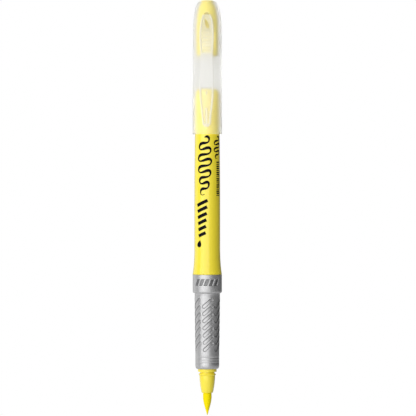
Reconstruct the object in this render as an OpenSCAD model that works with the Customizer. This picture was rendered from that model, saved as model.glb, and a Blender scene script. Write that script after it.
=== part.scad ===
// Brush-tip highlighter, cap posted on the tail.
// Millimetres. Z runs along the pen from the writing point (z = 0) to the top of the cap.
// The pocket clip is on the -Y side.

/* [Brush] */
// Length of brush that stands out of the nose
brush_len = 8.9; // [8.4:0.1:9.2]
// Radius of the brush at its belly
belly_r = 1.74; // [1.6:0.02:1.76]

/* [Nose and grip] */
// Height of the grip sleeve's lower end above the writing point
grip_z = 18.5; // [18.4:0.05:18.6]
// Height of the step under the collar, where the cap's mouth would stop
step_z = 48.8; // [48:0.1:49.5]
// Height of the joint between collar and barrel
joint_z = 56.2; // [56:0.1:57]
// Radius of the grip at its lower end
grip_low_r = 4.76; // [4.7:0.01:4.8]
// Radius of the grip under the collar
grip_top_r = 5.05; // [4.95:0.01:5.1]
// Radius of the collar
collar_r = 5.83; // [5.75:0.01:5.9]
// Rows of grip slots
slot_rows = 7; // [5:1:7]
// Columns of grip slots round the sleeve
slot_cols = 6; // [4:1:6]

/* [Barrel] */
// Outside radius of the plain barrel
barrel_r = 5.12; // [5.05:0.01:5.2]
// Outside radius of the tail, inside the posted cap
tail_r = 4.9; // [4.8:0.01:4.9]
// Bore radius of the barrel
bore_r = 4.1; // [4.05:0.01:4.15]
// Height of the tail end of the barrel
tail_z = 128.6; // [128:0.1:129]

/* [Cap] */
// Height of the cap's mouth
mouth_z = 112.2; // [112:0.1:113]
// Height of the cap's top rim
top_z = 165.3; // [165:0.1:166]
// Outside radius of the cap at its mouth
mouth_r = 5.86; // [5.8:0.01:5.9]
// Outside radius of the cap under its domed top
crown_r = 5.72; // [5.66:0.01:5.75]

/* [Clip] */
// Height where the clip's free arm leaves its root
clip_root_z = 150; // [149:0.5:151]
// Height of the clip's free end
clip_tip_z = 114.8; // [114:0.1:116]
// Distance of the clip's outer face from the axis
clip_face = 8.4; // [8.2:0.05:8.6]
// Thickness of the clip's arm
clip_t = 1.25; // [1.1:0.05:1.3]

/* [Hidden] */
$fn = 96;
eps = 0.01;

// Radial play between pressed pieces, and between pieces that slide on each other
press_play = 0.02;
slide_play = 0.03;

// Brush and wick
brush_pivot_z = brush_len + 0.1;
brush_ball_r = 1.6;
brush_point_r = 0.12;
belly_z = 7.6;
wick_r = 1.25;
wick_top_z = 31;
holder_z = 12;
holder_top_z = 20;
holder_r = 2.17;

// Nose
nose_mouth_r = 2.25;
nose_bore_r = 1.95;
nose_top_z = 15.8;
nose_top_r = 3.1;
bead_r = 3.38;
neck_r = 2.9;
flange_z = 17.3;
flange_r = 3.72;
tube_r = 3.95;
spigot_top_z = 66;

// Reservoir
core_r = 2.88;
wrap_r = 3.0;
housing_bore_r = 3.08;
reservoir_z = 22;
reservoir_top_z = 121;

// Grip texture
slot_w = 1.15;
slot_run = 3.8;
slot_slope = 40;
slot_depth = 0.28;
slot_pitch = 2.87;
slot_top_z = 44.75;
slot_azimuth = 4;
slot_lean = 0.6;
ring_depth = 0.07;

// Barrel
flare_len = 11.8;
flare_power = 2.6;
plain_top_z = 92;

// Cap
seal_z = 143.6;
dome_z = 154;
rim_r = 2.6;
vent_r = 2.72;
cap_bore_r = 5.0;
mouth_bore_r = 5.16;
inner_r = 4.3;
seal_r = 3.36;

// Clip
clip_top_z = 160.6;
clip_hinge_y = -(clip_face - 0.25);
bead_z = 118;

function ease(t) = (1 - cos(180 * t)) / 2;

// Quarter ellipse from [r0, z0], where it runs along Z, to [r1, z1], where it runs along the radius
function quarter(r0, z0, r1, z1, n = 12) =
    [for (i = [0:n]) [r1 + (r0 - r1) * cos(90 * i / n), z0 + (z1 - z0) * sin(90 * i / n)]];

// The same curve, run backwards
function reversed(list) = [for (i = [len(list) - 1:-1:0]) list[i]];

function brush_r(z) = brush_point_r + (belly_r - brush_point_r) * sin(90 * pow(z / belly_z, 1.15));

function nose_r(z) =
    nose_mouth_r
    + (nose_top_r - nose_mouth_r) * (1 - pow(1 - (z - brush_len) / (nose_top_z - brush_len), 1.8));

function flare_r(u) = barrel_r + (collar_r + 0.02 - barrel_r) * pow(1 - u, flare_power);

// Shallow ring groove in a straight wall of radius r
function ring(r, z) = [[r, z - 0.16], [r - ring_depth, z - 0.04], [r - ring_depth, z + 0.04], [r, z + 0.16]];

// Row of longitudinal ribs or fins, each a bar from r0 to r1
module fins(count, r0, r1, thickness, z0, z1, first = 0) {
    for (i = [0:count - 1])
        rotate([0, 0, first + i * 360 / count])
            translate([r0, -thickness / 2, z0])
                cube([r1 - r0, thickness, z1 - z0]);
}

// ---- Brush, wick and ink ----

// Flexible brush: a pointed cone with a round heel that turns in the nose
module brush_tip() {
    steps = 26;
    color([0.97, 0.87, 0.05])
        union() {
            rotate_extrude()
                polygon(concat(
                    [[0, 0]],
                    [for (i = [0:steps]) let (z = i / steps * brush_len) [brush_r(z), z]],
                    [[brush_ball_r, brush_pivot_z], [0, brush_pivot_z]]
                ));
            translate([0, 0, brush_pivot_z])
                sphere(r = brush_ball_r);
        }
}

// Rear of the felt: a shoulder behind the brush and a stem that feeds it with ink
module nib_wick() {
    shoulder_z = brush_pivot_z + brush_ball_r + 0.05;
    color([0.95, 0.84, 0.1])
        union() {
            translate([0, 0, shoulder_z])
                cylinder(r = brush_ball_r, h = holder_z - shoulder_z);
            translate([0, 0, shoulder_z])
                cylinder(r = wick_r, h = wick_top_z - shoulder_z);
        }
}

// Plastic bush that holds the wick in the nose, with air grooves along its outside
module nib_holder() {
    grooves = 4;
    groove_w = 0.6;
    color([0.93, 0.93, 0.9])
        difference() {
            translate([0, 0, holder_z + 0.05])
                cylinder(r = holder_r, h = holder_top_z - holder_z - 0.05);
            translate([0, 0, holder_z - 1])
                cylinder(r = wick_r + press_play, h = holder_top_z - holder_z + 2);
            fins(grooves, holder_r - 0.35, holder_r + 1, groove_w, holder_z - 1, holder_top_z + 1, 45);
        }
}

// Ink-soaked fibre rod with a pilot hole for the wick
module reservoir_core() {
    color([0.93, 0.86, 0.3])
        difference() {
            translate([0, 0, reservoir_z])
                cylinder(r = core_r, h = reservoir_top_z - reservoir_z);
            translate([0, 0, reservoir_z - 1])
                cylinder(r = wick_r + press_play, h = wick_top_z - reservoir_z + 1.2);
        }
}

// Clear film wrapped round the fibre rod
module reservoir_wrap() {
    color([0.9, 0.92, 0.9, 0.5])
        difference() {
            translate([0, 0, reservoir_z])
                cylinder(r = wrap_r, h = reservoir_top_z - reservoir_z);
            translate([0, 0, reservoir_z - 1])
                cylinder(r = core_r + press_play, h = reservoir_top_z - reservoir_z + 2);
        }
}

// ---- Body ----

// Nose, reservoir tube and spigot in one piece
module nib_housing() {
    steps = 12;
    outside = concat(
        [for (i = [0:steps]) let (z = brush_len + i / steps * (nose_top_z - brush_len)) [nose_r(z), z]],
        [[bead_r, nose_top_z + 0.25], [bead_r, nose_top_z + 0.6], [neck_r, nose_top_z + 0.95]],
        [[neck_r, flange_z], [flange_r, flange_z], [flange_r, grip_z + 0.3], [tube_r, grip_z + 0.4]],
        [[tube_r, joint_z], [bore_r - press_play, joint_z]],
        [[bore_r - press_play, spigot_top_z - 0.6], [bore_r - 0.4, spigot_top_z]]
    );
    inside = [
        [housing_bore_r, spigot_top_z],
        [housing_bore_r, holder_top_z + 1.4],
        [holder_r + press_play, holder_top_z + 0.4],
        [holder_r + press_play, holder_z],
        [nose_bore_r, holder_z],
        [nose_bore_r, brush_len]
    ];
    color([0.97, 0.86, 0.2])
        rotate_extrude()
            polygon(concat(outside, inside));
}

// One slot of the grip texture, as a bar that runs out along -Y
module slot_bar() {
    translate([0, -3.9, 0])
        rotate([90, 0, 0])
            linear_extrude(2.4)
                rotate(slot_slope) {
                    square([slot_run, slot_w], center = true);
                    for (side = [-1, 1])
                        translate([side * slot_run / 2, 0])
                            circle(d = slot_w, $fn = 16);
                }
}

// Even row of slanted bars sunk into the collar
module collar_marks() {
    mark_h = 2.5;
    mark_w = 1.4;
    for (azimuth = [-42:21:42])
        rotate([0, 0, azimuth])
            translate([0, 0, (step_z + joint_z) / 2 + 0.6])
                rotate([90, 0, 0])
                    linear_extrude(collar_r + 1)
                        polygon([
                            [-mark_w / 2 - 0.5, -mark_h / 2],
                            [mark_w / 2 - 0.5, -mark_h / 2],
                            [mark_w / 2 + 0.5, mark_h / 2],
                            [-mark_w / 2 + 0.5, mark_h / 2]
                        ]);
}

// Soft sleeve with slanted slots, fine rings near the nose and a collar at the top
module grip_sleeve() {
    bore = tube_r + slide_play;
    taper_z = 26.5;
    slot_low_z = 24;
    outside = concat(
        [[bore, grip_z + 0.4], [bore + 0.12, grip_z]],
        reversed(quarter(grip_low_r, grip_z + 1.5, bore + 0.2, grip_z, 8)),
        ring(grip_low_r, 21),
        ring(grip_low_r, 22),
        ring(grip_low_r, 23),
        [[grip_low_r, taper_z], [grip_top_r, step_z - 0.4], [grip_top_r + 0.06, step_z - 0.1]],
        [[collar_r - 0.55, step_z], [collar_r - 0.05, step_z + 0.5]],
        [[collar_r, joint_z - 0.15], [collar_r - 0.12, joint_z]]
    );
    color([0.68, 0.68, 0.69])
        union() {
            difference() {
                rotate_extrude()
                    polygon(concat(outside, [[bore, joint_z]]));
                for (row = [0:slot_rows - 1], col = [0:slot_cols - 1])
                    rotate([0, 0, slot_azimuth + slot_lean * row + col * 360 / slot_cols])
                        translate([0, 0, slot_top_z - slot_pitch * row])
                            slot_bar();
                difference() {
                    collar_marks();
                    translate([0, 0, step_z])
                        cylinder(r = collar_r - 0.25, h = joint_z - step_z);
                }
            }
            rotate_extrude()
                polygon([
                    [bore, slot_low_z],
                    [grip_low_r - slot_depth, slot_low_z],
                    [grip_low_r - slot_depth, taper_z],
                    [grip_top_r - slot_depth, step_z],
                    [bore, step_z]
                ]);
        }
}

// Barrel with a flared mouth, a stepped-down tail and ribs that centre the reservoir
module barrel() {
    flare_steps = 14;
    ribs = 5;
    plain_z = joint_z + flare_len;
    outside = concat(
        [for (i = [0:flare_steps]) [flare_r(i / flare_steps), joint_z + i / flare_steps * flare_len]],
        [[barrel_r, plain_top_z], [4.96, 110], [tail_r, mouth_z - 0.6], [tail_r, tail_z - 3]],
        [[tail_r - 0.1, tail_z - 1.2], [4.62, tail_z]]
    );
    color([0.97, 0.88, 0.25])
        union() {
            rotate_extrude()
                polygon(concat(outside, [[bore_r, tail_z], [bore_r, joint_z]]));
            fins(ribs, wrap_r + 0.06, bore_r + 0.3, 0.8, plain_z, reservoir_top_z - 1);
        }
}

// Plug pressed into the tail, with a domed head and a dimple
module tail_plug() {
    head_z = tail_z + 0.6;
    plug_top_z = tail_z + 1.7;
    spigot_z = reservoir_top_z + 0.5;
    color([0.97, 0.88, 0.25])
        difference() {
            rotate_extrude()
                polygon(concat(
                    [[0, spigot_z], [bore_r - 0.3, spigot_z], [bore_r - press_play, spigot_z + 0.6]],
                    [[bore_r - press_play, tail_z], [4.6, tail_z]],
                    quarter(4.6, head_z, 3.3, plug_top_z, 8),
                    [[0, plug_top_z]]
                ));
            translate([0, 0, spigot_z - 1])
                cylinder(r = 3.2, h = tail_z - spigot_z);
            translate([0, 0, plug_top_z - 0.35])
                cylinder(r = 1.6, h = 1);
        }
}

// ---- Cap ----

// Yellow seal cup inside the cap, which closes on the nose when the pen is capped
module inner_cap() {
    steps = 12;
    cup_top_z = 164.2;
    outside = concat(
        [[seal_r + 0.45, seal_z], [inner_r, seal_z + 0.5]],
        quarter(inner_r, dome_z - 1, 2.55, top_z - 1.2, steps),
        [[2.55, top_z + 0.05], [2.4, top_z + 0.2], [0, top_z + 0.2]]
    );
    inside = concat(
        [[0, cup_top_z]],
        reversed(quarter(seal_r + 0.15, dome_z + 2, 1.4, cup_top_z, steps)),
        [[seal_r, seal_z + 3.4], [seal_r, seal_z + 1.2], [seal_r + 0.25, seal_z]]
    );
    color([0.96, 0.88, 0.3])
        union() {
            rotate_extrude()
                polygon(concat(outside, inside));
            fins(4, inner_r - 0.2, cap_bore_r - 0.08, 0.5, seal_z + 2.5, dome_z - 1, 45);
        }
}

// Inside of the cap as a solid of revolution, from below the mouth up to the vent
module cap_cavity() {
    rotate_extrude()
        polygon(concat(
            [[0, mouth_z - 1], [mouth_bore_r + 0.12, mouth_z - 1], [mouth_bore_r + 0.12, mouth_z]],
            [[mouth_bore_r, mouth_z + 0.5], [cap_bore_r + 0.03, seal_z]],
            quarter(cap_bore_r, dome_z - 0.5, vent_r, top_z - 0.7),
            [[vent_r, top_z + 1], [0, top_z + 1]]
        ));
}

// Half width of the clip at height z
function clip_half(z) =
    let (head_z = 151, waist_z = 143.6, wide_z = 130.6, end_z = clip_tip_z + 1.7)
        z > head_z ? 2.88 * pow(max(0, 1 - pow((z - head_z) / (clip_top_z - head_z), 2)), 0.5)
        : z > waist_z ? 2.58 + 0.3 * ease((z - waist_z) / (head_z - waist_z))
        : z > wide_z ? 2.88 - 0.3 * ease((z - wide_z) / (waist_z - wide_z))
        : z > end_z ? 1.7 + 1.18 * pow(sin(90 * (z - end_z) / (wide_z - end_z)), 1.2)
        : 1.7 * pow(max(0, 1 - pow((end_z - z) / 1.7, 2)), 0.5);

// Front outline of the clip between two heights, narrowed by inset on each side
module clip_outline(z0, z1, inset = 0, n = 40) {
    zs = [for (i = [0:n]) z0 + (z1 - z0) * ease(i / n)];
    halves = [for (z = zs) max(clip_half(z) - inset, 0.05)];
    polygon(concat(
        [for (i = [0:n]) [halves[i], zs[i]]],
        [for (i = [n:-1:0]) [-halves[i], zs[i]]]
    ));
}

// Bar along -Y with the clip's front outline
module clip_front(z0, z1, depth, inset = 0) {
    rotate([90, 0, 0])
        linear_extrude(depth)
            clip_outline(z0, z1, inset);
}

// Prism along X with a side profile given as [y, z] points
module clip_side(points) {
    rotate([90, 0, 90])
        translate([0, 0, -4])
            linear_extrude(8)
                polygon(points);
}

// Side curve of the clip's outer face, from the flat of the arm up to the cap's dome
clip_shoulder = [
    for (p = quarter(clip_face, 147, 4.7, clip_top_z + 0.2, 14)) [-p[0], p[1]]
];

// Clip above the hinge line, where it grows out of the cap
module clip_root() {
    gap_y = -(clip_face - clip_t);
    upper = [for (p = clip_shoulder) if (p[1] > clip_root_z) p];
    difference() {
        intersection() {
            clip_front(clip_root_z, clip_top_z, 10);
            clip_side(concat(
                [[gap_y, clip_root_z], [clip_hinge_y, clip_root_z]],
                upper,
                [[-3, clip_top_z + 0.2], [-3, clip_root_z + 4], [-5.75, clip_root_z + 3.4]],
                [[-6.4, clip_root_z + 2.6], [gap_y + 0.15, clip_root_z + 1.2]]
            ));
        }
        cap_cavity();
    }
}

// Clear frosted cap: a tapered tube with a domed top, a vent round the inner cap and grip ribs
module cap_shell() {
    ribs = 6;
    color([0.92, 0.94, 0.92, 0.55])
        union() {
            difference() {
                rotate_extrude()
                    polygon(concat(
                        [[0, mouth_z], [mouth_r - 0.1, mouth_z], [mouth_r, mouth_z + 0.2]],
                        [[5.75, 142]],
                        quarter(crown_r, dome_z, rim_r + 0.3, top_z, 16),
                        [[0, top_z]]
                    ));
                cap_cavity();
            }
            clip_root();
            fins(ribs, tail_r + slide_play, mouth_bore_r + 0.1, 0.7, mouth_z + 3, seal_z - 2, 30);
        }
}

// Free arm of the clip, with a contact bead near its end and a sunk front with a short rib
module clip() {
    gap_y = -(clip_face - clip_t);
    arm_top_z = clip_root_z;
    shoulder = [for (p = clip_shoulder) if (p[1] < clip_root_z) p];
    color([0.92, 0.94, 0.92, 0.55])
        difference() {
            intersection() {
                clip_front(clip_tip_z, arm_top_z, 10);
                clip_side(concat(
                    [[gap_y - 0.1, clip_tip_z - 0.2], [clip_hinge_y + 0.1, clip_tip_z - 0.2]],
                    [[-(clip_face - 0.1), clip_tip_z + 1.8], [-clip_face, clip_tip_z + 6]],
                    shoulder,
                    [[clip_hinge_y, arm_top_z], [gap_y, arm_top_z], [gap_y, bead_z + 3.6]],
                    [for (i = [0:8]) let (a = 180 * i / 8)
                        [gap_y + 1.05 * sin(a), bead_z + 2.6 * cos(a)]]
                ));
            }
            difference() {
                translate([0, -(clip_face - 0.35), 0])
                    clip_front(clip_tip_z + 1.5, 134, 4, 0.65);
                translate([-0.4, -(clip_face + 2), clip_tip_z])
                    cube([0.8, 4, 8]);
            }
        }
}

barrel();
tail_plug();
reservoir_core();
reservoir_wrap();
nib_housing();
grip_sleeve();
nib_holder();
nib_wick();
brush_tip();
inner_cap();
cap_shell();
clip();
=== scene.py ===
"""Dresses a brush-tip highlighter, with its cap posted on the tail, around its fixed frame.

Every sub-assembly is a class that holds its sizes, in millimetres, as fields. Heights
are counted from the ends of the frame's own nodes, so each piece sits where the frame is.
"""

import logging
import math
from collections.abc import Callable, Sequence
from dataclasses import dataclass
from enum import Enum

import bmesh
import bpy
from mathutils import Matrix, Vector


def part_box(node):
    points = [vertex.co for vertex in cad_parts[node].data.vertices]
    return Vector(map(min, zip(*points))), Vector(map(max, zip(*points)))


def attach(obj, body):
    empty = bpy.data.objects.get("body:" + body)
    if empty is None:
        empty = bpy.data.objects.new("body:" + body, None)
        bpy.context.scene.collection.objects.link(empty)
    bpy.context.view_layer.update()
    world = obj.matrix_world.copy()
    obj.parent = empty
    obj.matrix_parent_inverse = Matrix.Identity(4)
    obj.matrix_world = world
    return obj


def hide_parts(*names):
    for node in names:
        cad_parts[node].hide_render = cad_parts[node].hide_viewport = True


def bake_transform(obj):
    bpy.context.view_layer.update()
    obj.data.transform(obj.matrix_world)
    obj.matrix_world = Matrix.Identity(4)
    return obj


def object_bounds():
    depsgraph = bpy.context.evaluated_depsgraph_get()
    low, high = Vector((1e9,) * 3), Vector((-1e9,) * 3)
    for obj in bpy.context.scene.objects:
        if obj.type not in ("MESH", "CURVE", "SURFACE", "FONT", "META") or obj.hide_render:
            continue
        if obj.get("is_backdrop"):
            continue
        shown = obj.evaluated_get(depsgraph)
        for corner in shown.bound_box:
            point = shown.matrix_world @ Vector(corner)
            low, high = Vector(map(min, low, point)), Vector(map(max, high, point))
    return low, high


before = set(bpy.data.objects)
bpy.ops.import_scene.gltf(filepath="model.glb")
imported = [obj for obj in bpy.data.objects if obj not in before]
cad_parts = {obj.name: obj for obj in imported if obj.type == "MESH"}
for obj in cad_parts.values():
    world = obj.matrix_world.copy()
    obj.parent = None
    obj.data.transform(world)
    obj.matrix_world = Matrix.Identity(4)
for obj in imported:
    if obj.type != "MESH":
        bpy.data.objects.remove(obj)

LOG = logging.getLogger("highlighter")
MM = 0.001
TURN_STEPS = 128
SHARP_ANGLE = math.radians(38)
VEIL = "veil"
# SHADOW names a vertex attribute of painted shade, mixed into the base colour: along the grip's slot edges
# and in its sunk bars, and on the clip as a shadow arc under the head's rim and in the sunk leaf.
SHADOW = "shadow"
# In millimetres: points closer than WELD become one, and NEAR is the play in finding a ring.
WELD = 1e-4
NEAR = 1e-3
# The middle of a noise pattern's range, which carries nearly all of it.
PATTERN_LOW, PATTERN_HIGH = 0.3, 0.7
PLASTIC_IOR = 1.46

Colour = tuple[float, float, float]
Ring = tuple[float, ...]


class Body(Enum):
    """The frame's moving bodies."""

    PEN = "pen"
    BRUSH = "brush"
    SEAL = "seal"
    CAP = "cap"
    CLIP = "clip"


# ---------------------------------------------------------------- small helpers


def smooth(t: float) -> float:
    """Return a 0 to 1 ramp that starts and ends level."""
    t = min(1.0, max(0.0, t))
    return t * t * (3.0 - 2.0 * t)


def bell(t: float) -> float:
    """Return a bell that is 1 at 0 and fades past 1 on both sides."""
    return math.exp(-(t**2))


def levels(first: float, last: float, steps: int) -> list[float]:
    """Return evenly spread values, both ends included."""
    return [first + (last - first) * step / steps for step in range(steps + 1)]


def polar(vert: bmesh.types.BMVert) -> tuple[float, float]:
    """Give a point's azimuth from the clip's side, in radians, and its distance from the axis."""
    return math.atan2(vert.co.x, -vert.co.y), math.hypot(vert.co.x, vert.co.y)


def rib(azimuth: float, count: int, half_angle: float) -> float:
    """Tell how far a point is inside one of a ring of even ribs: 1 inside, 0 outside.

    Args:
        azimuth: The point's azimuth, in radians.
        count: How many ribs there are.
        half_angle: Half of a rib's width, in degrees.

    Returns:
        The share, from 0 to 1.
    """
    step = math.tau / count
    return smooth(1.6 - abs(azimuth % step - step / 2) / math.radians(half_angle))


def quarter(start: tuple[float, float], end: tuple[float, float], steps: int) -> list[Ring]:
    """Lay points on a quarter ellipse in a turning profile.

    Args:
        start: Radius and height where the curve runs along the axis.
        end: Radius and height where the curve runs along the radius.
        steps: How many segments the curve has.

    Returns:
        The points as (radius, height), from start to end.
    """
    (r0, z0), (r1, z1) = start, end
    turns = [math.pi / 2 * i / steps for i in range(steps + 1)]
    return [(r1 + (r0 - r1) * math.cos(a), z0 + (z1 - z0) * math.sin(a)) for a in turns]


def turn(rings: Sequence[Ring], steps: int = TURN_STEPS, closed: bool = True) -> bmesh.types.BMesh:
    """Turn a profile round the pen's axis and soften its marked corners.

    Args:
        rings: Profile points as (radius, height) or (radius, height, softening).
        steps: Segments in a full turn.
        closed: Whether the last point joins back to the first, as on a hollow piece.

    Returns:
        The turned shape, with its faces pointing outwards.
    """
    bm = bmesh.new()
    verts = [bm.verts.new((ring[0], 0.0, ring[1])) for ring in rings]
    pairs = list(zip(verts, verts[1:]))
    if closed:
        pairs.append((verts[-1], verts[0]))
    edges = [bm.edges.new(pair) for pair in pairs]
    bmesh.ops.spin(
        bm,
        geom=verts + edges,
        cent=(0, 0, 0),
        axis=(0, 0, 1),
        dvec=(0, 0, 0),
        angle=math.tau,
        steps=steps,
        use_merge=True,
        use_duplicate=False,
    )
    bmesh.ops.remove_doubles(bm, verts=bm.verts[:], dist=WELD)
    bmesh.ops.recalc_face_normals(bm, faces=bm.faces[:])
    for ring in rings:
        if len(ring) > 2:
            soften(bm, ring[0], ring[1], ring[2])
    return bm


def soften(bm: bmesh.types.BMesh, radius: float, height: float, width: float) -> None:
    """Round the edge that runs round the axis at one radius and height.

    Args:
        bm: The turned shape.
        radius: The edge's distance from the axis.
        height: The edge's height.
        width: How far the rounding reaches from the edge.
    """

    def on_ring(vert: bmesh.types.BMVert) -> bool:
        """Tell whether a vertex lies on the edge."""
        return abs(polar(vert)[1] - radius) < NEAR and abs(vert.co.z - height) < NEAR

    edges = [edge for edge in bm.edges if all(on_ring(vert) for vert in edge.verts)]
    bmesh.ops.bevel(
        bm,
        geom=edges,
        offset=width,
        offset_type="OFFSET",
        segments=3,
        profile=0.5,
        affect="EDGES",
        material=-1,
        clamp_overlap=True,
    )


def push(bm: bmesh.types.BMesh, depth: Callable[[bmesh.types.BMVert, float, float], float]) -> None:
    """Move the walls of a turned shape in or out along the radius.

    Args:
        bm: The turned shape.
        depth: Gives how far a point moves outwards, from the point, its azimuth and its radius.
    """
    for vert in bm.verts:
        azimuth, radius = polar(vert)
        if radius > WELD:
            scale = 1.0 + depth(vert, azimuth, radius) / radius
            vert.co.x *= scale
            vert.co.y *= scale


def stadium(x: float, z: float, run: float, width: float) -> float:
    """Measure the distance from a point to a round-ended bar that lies along x.

    Args:
        x: Where the point is along the bar, from the bar's middle.
        z: Where the point is across the bar.
        run: Distance between the centres of the bar's two ends.
        width: The bar's width.

    Returns:
        The distance, negative inside the bar.
    """
    past = max(abs(x) - run / 2, 0.0)
    return math.hypot(past, z) - width / 2


def sheared_box(x: float, z: float, width: float, height: float, shear: float) -> float:
    """Measure the distance from a point to the outline of a slanted bar.

    Args:
        x: Where the point is across the bar, from the bar's middle.
        z: Where the point is along the bar's height.
        width: The bar's width.
        height: The bar's height.
        shear: How far the bar's top leans, per unit of height.

    Returns:
        The distance, negative inside the bar.
    """
    across = (abs(x - z * shear) - width / 2) / math.hypot(1.0, shear)
    along = abs(z) - height / 2
    if across > 0 and along > 0:
        return math.hypot(across, along)
    return max(across, along)


def place(bm: bmesh.types.BMesh, name: str, material: bpy.types.Material) -> bpy.types.Object:
    """Put a finished shape into the scene, and free it.

    Args:
        bm: The shape, in metres.
        name: The object's name.
        material: What it is made of.

    Returns:
        The object.
    """
    mesh = bpy.data.meshes.new(name)
    bm.to_mesh(mesh)
    bm.free()
    mesh.materials.append(material)
    made = bpy.data.objects.new(name, mesh)
    bpy.context.scene.collection.objects.link(made)
    return made


def publish(
    bm: bmesh.types.BMesh,
    name: str,
    material: bpy.types.Material,
    body: Body | None,
    replaced: tuple[str, ...] = (),
    shades: bool = True,
) -> bpy.types.Object:
    """Turn a finished shape into a piece of the object.

    Args:
        bm: The shape, in millimetres.
        name: The piece's name.
        material: What it is made of.
        body: The body it rides on, or None to leave it unattached.
        replaced: Nodes of the frame that it stands for.
        shades: Whether it keeps the lamps from what is behind it.

    Returns:
        The piece's object.
    """
    bmesh.ops.scale(bm, vec=(MM, MM, MM), verts=bm.verts[:])
    for face in bm.faces:
        face.smooth = True
    for edge in bm.edges:
        edge.smooth = len(edge.link_faces) != 2 or edge.calc_face_angle() < SHARP_ANGLE
    piece = place(bm, name, material)
    piece.visible_shadow = shades
    if body is not None:
        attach(piece, body.value)
    if replaced:
        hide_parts(*replaced)
    faces = len(piece.data.polygons)
    LOG.info("%s: %d faces, stands for %s", name, faces, ", ".join(replaced) or "nothing")
    return piece


@dataclass(frozen=True)
class Span:
    """Where one node of the frame sits, in millimetres."""

    low: float
    high: float

    @classmethod
    def of(cls, node: str) -> "Span":
        """Measure from the lowest to the highest point of a node of the frame."""
        low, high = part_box(node)
        return cls(low.z / MM, high.z / MM)


# ---------------------------------------------------------------- finishes


class Graph:
    """A material's node tree under construction."""

    def __init__(self, name: str) -> None:
        """Start a material with one shader and object coordinates.

        Args:
            name: The material's name.
        """
        self.material = bpy.data.materials.new(name)
        self.material.use_nodes = True
        self.tree = self.material.node_tree
        self.shader = self.tree.nodes["Principled BSDF"]
        self.coords = self.add("ShaderNodeTexCoord").outputs["Object"]

    def add(self, kind: str, **values: object) -> bpy.types.Node:
        """Add a node.

        Args:
            kind: The node's type.
            **values: Settings of the node, by attribute name.

        Returns:
            The new node.
        """
        node = self.tree.nodes.new(kind)
        for key, value in values.items():
            setattr(node, key, value)
        return node

    def join(self, source: bpy.types.NodeSocket, target: bpy.types.NodeSocket) -> None:
        """Connect an output to an input."""
        self.tree.links.new(source, target)

    def feed(self, source: bpy.types.NodeSocket, name: str) -> None:
        """Connect an output to one of the shader's own inputs."""
        self.join(source, self.shader.inputs[name])

    def noise(self, scale: float, stretch: Colour = (1, 1, 1), detail: float = 3.0) -> bpy.types.NodeSocket:
        """Make a noise pattern.

        Args:
            scale: Cells in a metre.
            stretch: Factor on the scale along each axis.
            detail: How much finer noise is laid on top.

        Returns:
            The pattern's output, from 0 to 1.
        """
        mapping = self.add("ShaderNodeMapping")
        mapping.inputs["Scale"].default_value = stretch
        self.join(self.coords, mapping.inputs["Vector"])
        texture = self.add("ShaderNodeTexNoise")
        texture.inputs["Scale"].default_value = scale
        texture.inputs["Detail"].default_value = detail
        self.join(mapping.outputs["Vector"], texture.inputs["Vector"])
        return texture.outputs["Fac"]

    def blend(self, factor: bpy.types.NodeSocket, first: Colour, second: Colour) -> bpy.types.NodeSocket:
        """Mix two colours by a pattern.

        Args:
            factor: The pattern.
            first: Colour where the pattern is 0.
            second: Colour where the pattern is 1.

        Returns:
            The mixed colour's output.
        """
        ramp = self.add("ShaderNodeValToRGB")
        ends = ((PATTERN_LOW, first), (PATTERN_HIGH, second))
        for element, (position, colour) in zip(ramp.color_ramp.elements, ends):
            element.position = position
            element.color = (*colour, 1)
        self.join(factor, ramp.inputs["Fac"])
        return ramp.outputs["Color"]

    def paint_shade(self, skin: bpy.types.NodeSocket, sunk: Colour) -> bpy.types.NodeSocket:
        """Mix painted shade, a darker colour, into the places that the mesh's shade attribute marks.

        Args:
            skin: The plain colour's output.
            sunk: Colour of the painted shade where the mark is 1.

        Returns:
            The mixed colour's output.
        """
        mark = self.add("ShaderNodeAttribute", attribute_name=SHADOW)
        mix = self.add("ShaderNodeMix", data_type="RGBA")
        live = {socket.name: socket for socket in mix.inputs if socket.enabled}
        live["B"].default_value = (*sunk, 1)
        self.join(mark.outputs["Fac"], live["Factor"])
        self.join(skin, live["A"])
        return next(socket for socket in mix.outputs if socket.enabled)

    def spread(self, factor: bpy.types.NodeSocket, low: float, high: float) -> bpy.types.NodeSocket:
        """Map a pattern onto a range.

        Args:
            factor: The pattern, from 0 to 1.
            low: Value where the pattern is low.
            high: Value where the pattern is high.

        Returns:
            The mapped value's output.
        """
        ranged = self.add("ShaderNodeMapRange")
        ranged.inputs["From Min"].default_value = PATTERN_LOW
        ranged.inputs["From Max"].default_value = PATTERN_HIGH
        ranged.inputs["To Min"].default_value = low
        ranged.inputs["To Max"].default_value = high
        self.join(factor, ranged.inputs["Value"])
        return ranged.outputs["Result"]

    def emboss(self, height: bpy.types.NodeSocket, distance: float, strength: float) -> None:
        """Raise a pattern on the surface.

        Args:
            height: The pattern.
            distance: Height of the relief, in metres.
            strength: How strongly it shows.
        """
        bump = self.add("ShaderNodeBump")
        bump.inputs["Distance"].default_value = distance
        bump.inputs["Strength"].default_value = strength
        self.join(height, bump.inputs["Height"])
        self.feed(bump.outputs["Normal"], "Normal")

    def set(self, **values: object) -> None:
        """Set the shader's own sockets, whose names have spaces for underscores."""
        for key, value in values.items():
            self.shader.inputs[key.replace("_", " ")].default_value = value


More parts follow.
